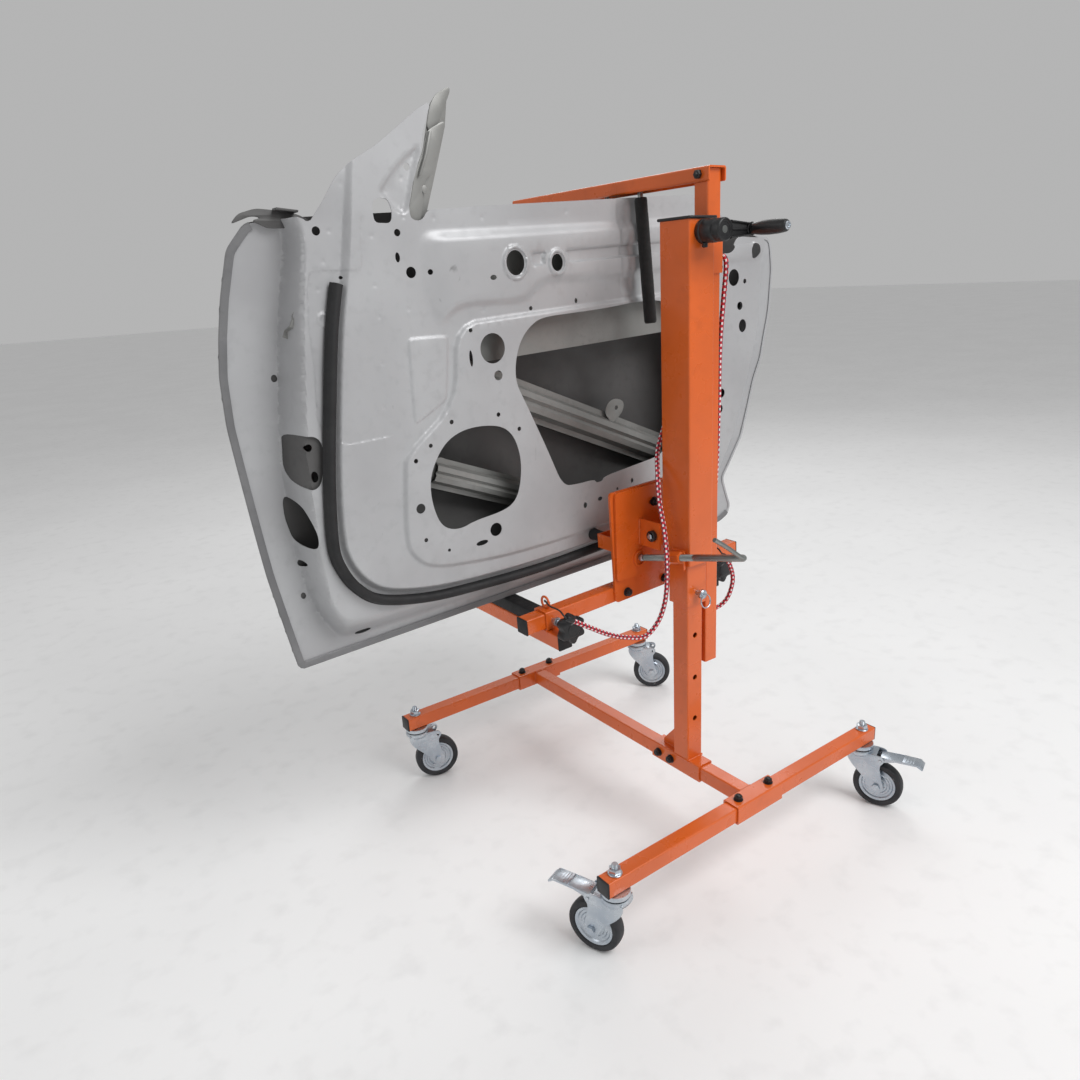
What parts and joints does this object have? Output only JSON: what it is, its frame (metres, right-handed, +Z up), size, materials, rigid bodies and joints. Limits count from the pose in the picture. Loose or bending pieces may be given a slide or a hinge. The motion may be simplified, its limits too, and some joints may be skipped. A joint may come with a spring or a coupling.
{
  "type": "car door handling trolley",
  "caption": "Wheeled crank-lift trolley with a tilting, rolling carriage that holds a bare car door shell on two padded arms.",
  "frame": {"origin": "floor point under the middle of the base", "axes": "+X along the two side beams, to the operator's right; +Y from the operator towards the door; +Z up"},
  "size_m": [1.2483, 0.8531, 1.4064],
  "materials": {
    "orange_paint": "gloss powder coat",
    "black_plastic": "moulded, slightly grained",
    "black_rubber": "matt",
    "foam": "closed-cell foam",
    "tyre_rubber": "matt",
    "zinc_plate": "bright zinc plate",
    "plain_steel": "oiled bare steel",
    "bronze": "machined",
    "white_liner": "sliding liner",
    "bare_panel": "pale grey primer, scuffed",
    "dark_panel": "dark grey primer",
    "cord_cover": "woven cover"
  },
  "bodies": {
    "base": {"side_beams": "orange_paint", "crossbeam": "orange_paint", "beam_end_caps": "black_plastic", "base_bolts": "black_plastic", "caster_stems": "zinc_plate", "lower_mast": "orange_paint", "middle_mast": "orange_paint", "jack_nut": "bronze"},
    "caster_1": {"caster_fork_1": "zinc_plate"},
    "wheel_1": {"caster_wheel_1": "tyre_rubber"},
    "pedal_1": {"brake_pedal_1": "zinc_plate"},
    "caster_2": {"caster_fork_2": "zinc_plate"},
    "wheel_2": {"caster_wheel_2": "tyre_rubber"},
    "pedal_2": {"brake_pedal_2": "zinc_plate"},
    "caster_3": {"caster_fork_3": "zinc_plate"},
    "wheel_3": {"caster_wheel_3": "tyre_rubber"},
    "caster_4": {"caster_fork_4": "zinc_plate"},
    "wheel_4": {"caster_wheel_4": "tyre_rubber"},
    "pin": {"ring_pin": "zinc_plate"},
    "lift": {"outer_mast": "orange_paint", "mast_cap": "black_plastic", "guide_liners": "white_liner", "crank_housing": "black_plastic", "post_sleeve": "orange_paint", "tilt_bolt": "zinc_plate", "screw_block": "orange_paint", "bungee_cord": "cord_cover", "bungee_hooks": "black_plastic"},
    "screw": {"jack_screw": "plain_steel"},
    "crank": {"crank_shaft": "plain_steel", "crank_arm": "black_plastic"},
    "grip": {"crank_grip": "black_plastic"},
    "post": {"top_post": "orange_paint", "top_arm": "orange_paint", "arm_bolt": "black_plastic"},
    "post_knob": {"post_knob": "black_plastic"},
    "near_rod": {"near_rod": "plain_steel", "near_rod_foam": "foam"},
    "outer_rod": {"outer_rod": "plain_steel", "outer_rod_foam": "foam"},
    "tilt": {"tilt_plate": "orange_paint"},
    "screw_foot": {"screw_foot": "zinc_plate"},
    "tilt_screw": {"tilt_screw": "plain_steel"},
    "carriage": {"turn_plate": "orange_paint", "plate_bolts": "black_plastic", "cross_tube": "orange_paint", "stop_bracket": "orange_paint", "stop_buffers": "black_rubber", "door_inner_panel": "bare_panel", "door_side_walls": "bare_panel", "door_outer_skin": "dark_panel", "door_impact_beams": "dark_panel", "door_reinforcements": "dark_panel", "door_seal": "black_rubber"},
    "left_arm": {"left_arm": "orange_paint", "left_arm_pad": "black_rubber"},
    "left_knob": {"left_knob": "black_plastic"},
    "right_arm": {"right_arm": "orange_paint", "right_arm_pad": "black_rubber"},
    "right_knob": {"right_knob": "black_plastic"}
  },
  "joints": [
    {"name": "swivel_1", "type": "hinge", "parent": "base", "child": "caster_1", "pos_m": [-0.345, -0.35, 0.1275], "axis": [0, 0, 1], "continuous": true},
    {"name": "wheel_spin_1", "type": "hinge", "parent": "caster_1", "child": "wheel_1", "pos_m": [-0.35934, -0.31266, 0.05], "axis": [-0.9336, -0.3584, 0], "continuous": true},
    {"name": "brake_1", "type": "hinge", "parent": "caster_1", "child": "pedal_1", "pos_m": [-0.36077, -0.30892, 0.1135], "axis": [-0.9336, -0.3584, 0], "range_deg": [0, 12]},
    {"name": "swivel_2", "type": "hinge", "parent": "base", "child": "caster_2", "pos_m": [0.345, -0.35, 0.1275], "axis": [0, 0, 1], "continuous": true},
    {"name": "wheel_spin_2", "type": "hinge", "parent": "caster_2", "child": "wheel_2", "pos_m": [0.35934, -0.38734, 0.05], "axis": [0.9336, 0.3584, 0], "continuous": true},
    {"name": "brake_2", "type": "hinge", "parent": "caster_2", "child": "pedal_2", "pos_m": [0.36077, -0.39108, 0.1135], "axis": [0.9336, 0.3584, 0], "range_deg": [0, 12]},
    {"name": "swivel_3", "type": "hinge", "parent": "base", "child": "caster_3", "pos_m": [-0.345, 0.35, 0.1275], "axis": [0, 0, 1], "continuous": true},
    {"name": "wheel_spin_3", "type": "hinge", "parent": "caster_3", "child": "wheel_3", "pos_m": [-0.30636, 0.33965, 0.05], "axis": [0.2588, 0.9659, 0], "continuous": true},
    {"name": "swivel_4", "type": "hinge", "parent": "base", "child": "caster_4", "pos_m": [0.345, 0.35, 0.1275], "axis": [0, 0, 1], "continuous": true},
    {"name": "wheel_spin_4", "type": "hinge", "parent": "caster_4", "child": "wheel_4", "pos_m": [0.37377, 0.32221, 0.05], "axis": [0.6947, 0.7193, 0], "continuous": true},
    {"name": "pin_pull", "type": "slide", "parent": "base", "child": "pin", "axis": [0, -1, 0], "range_m": [0, 0.07]},
    {"name": "jack_lift", "type": "slide", "parent": "base", "child": "lift", "axis": [0, 0, 1], "range_m": [-0.04, 0.35]},
    {"name": "jack_screw_turn", "type": "hinge", "parent": "lift", "child": "screw", "pos_m": [0, -0.18, 0.9], "axis": [0, 0, 1], "range_deg": [-12700, 1500]},
    {"name": "crank_turn", "type": "hinge", "parent": "lift", "child": "crank", "pos_m": [0, -0.25, 1.172], "axis": [0, -1, 0], "range_deg": [-1500, 12700]},
    {"name": "grip_spin", "type": "hinge", "parent": "crank", "child": "grip", "pos_m": [0.068, -0.27, 1.172], "axis": [0, -1, 0], "continuous": true},
    {"name": "post_lift", "type": "slide", "parent": "lift", "child": "post", "axis": [0, 0, 1], "range_m": [0, 0.3]},
    {"name": "post_knob_turn", "type": "hinge", "parent": "lift", "child": "post_knob", "pos_m": [0.0658, -0.18, 1.114], "axis": [1, 0, 0], "range_deg": [-540, 540]},
    {"name": "near_rod_slide", "type": "slide", "parent": "post", "child": "near_rod", "axis": [0, 1, 0], "range_m": [-0.02, 0.06]},
    {"name": "outer_rod_slide", "type": "slide", "parent": "near_rod", "child": "outer_rod", "axis": [0, 1, 0], "range_m": [0, 0.1]},
    {"name": "tilt", "type": "hinge", "parent": "lift", "child": "tilt", "pos_m": [0, -0.131, 0.637], "axis": [1, 0, 0], "range_deg": [-5, 1.5]},
    {"name": "foot_slide", "type": "slide", "parent": "lift", "child": "screw_foot", "axis": [0, 0.9724, -0.2334], "range_m": [-0.006, 0.003]},
    {"name": "tilt_screw_turn", "type": "hinge", "parent": "screw_foot", "child": "tilt_screw", "pos_m": [-0.042, -0.092, 0.584], "axis": [0, 0.9724, -0.2334], "range_deg": [-900, 300]},
    {"name": "roll", "type": "hinge", "parent": "tilt", "child": "carriage", "pos_m": [0, -0.087, 0.64], "axis": [0, -1, 0], "range_deg": [-2.1, 1]},
    {"name": "left_arm_slide", "type": "slide", "parent": "carriage", "child": "left_arm", "axis": [0.9993, 0, 0.0366], "range_m": [-0.02, 0.12]},
    {"name": "left_knob_turn", "type": "hinge", "parent": "left_arm", "child": "left_knob", "pos_m": [-0.2515, -0.085, 0.5127], "axis": [0, -1, 0], "range_deg": [-540, 540]},
    {"name": "right_arm_slide", "type": "slide", "parent": "carriage", "child": "right_arm", "axis": [0.9993, 0, 0.0366], "range_m": [-0.01, 0.08]},
    {"name": "right_knob_turn", "type": "hinge", "parent": "right_arm", "child": "right_knob", "pos_m": [0.14023, -0.085, 0.52706], "axis": [0, -1, 0], "range_deg": [-540, 540]}
  ],
  "couplings": [
    {"joint": "jack_screw_turn", "follows": "jack_lift", "rad_per_m": -628.32},
    {"joint": "crank_turn", "follows": "jack_lift", "rad_per_m": 628.32},
    {"joint": "near_rod_slide", "follows": "tilt", "m_per_rad": -0.612},
    {"joint": "foot_slide", "follows": "tilt", "m_per_rad": 0.0545},
    {"joint": "tilt_screw_turn", "follows": "tilt", "ratio": 171}
  ]
}
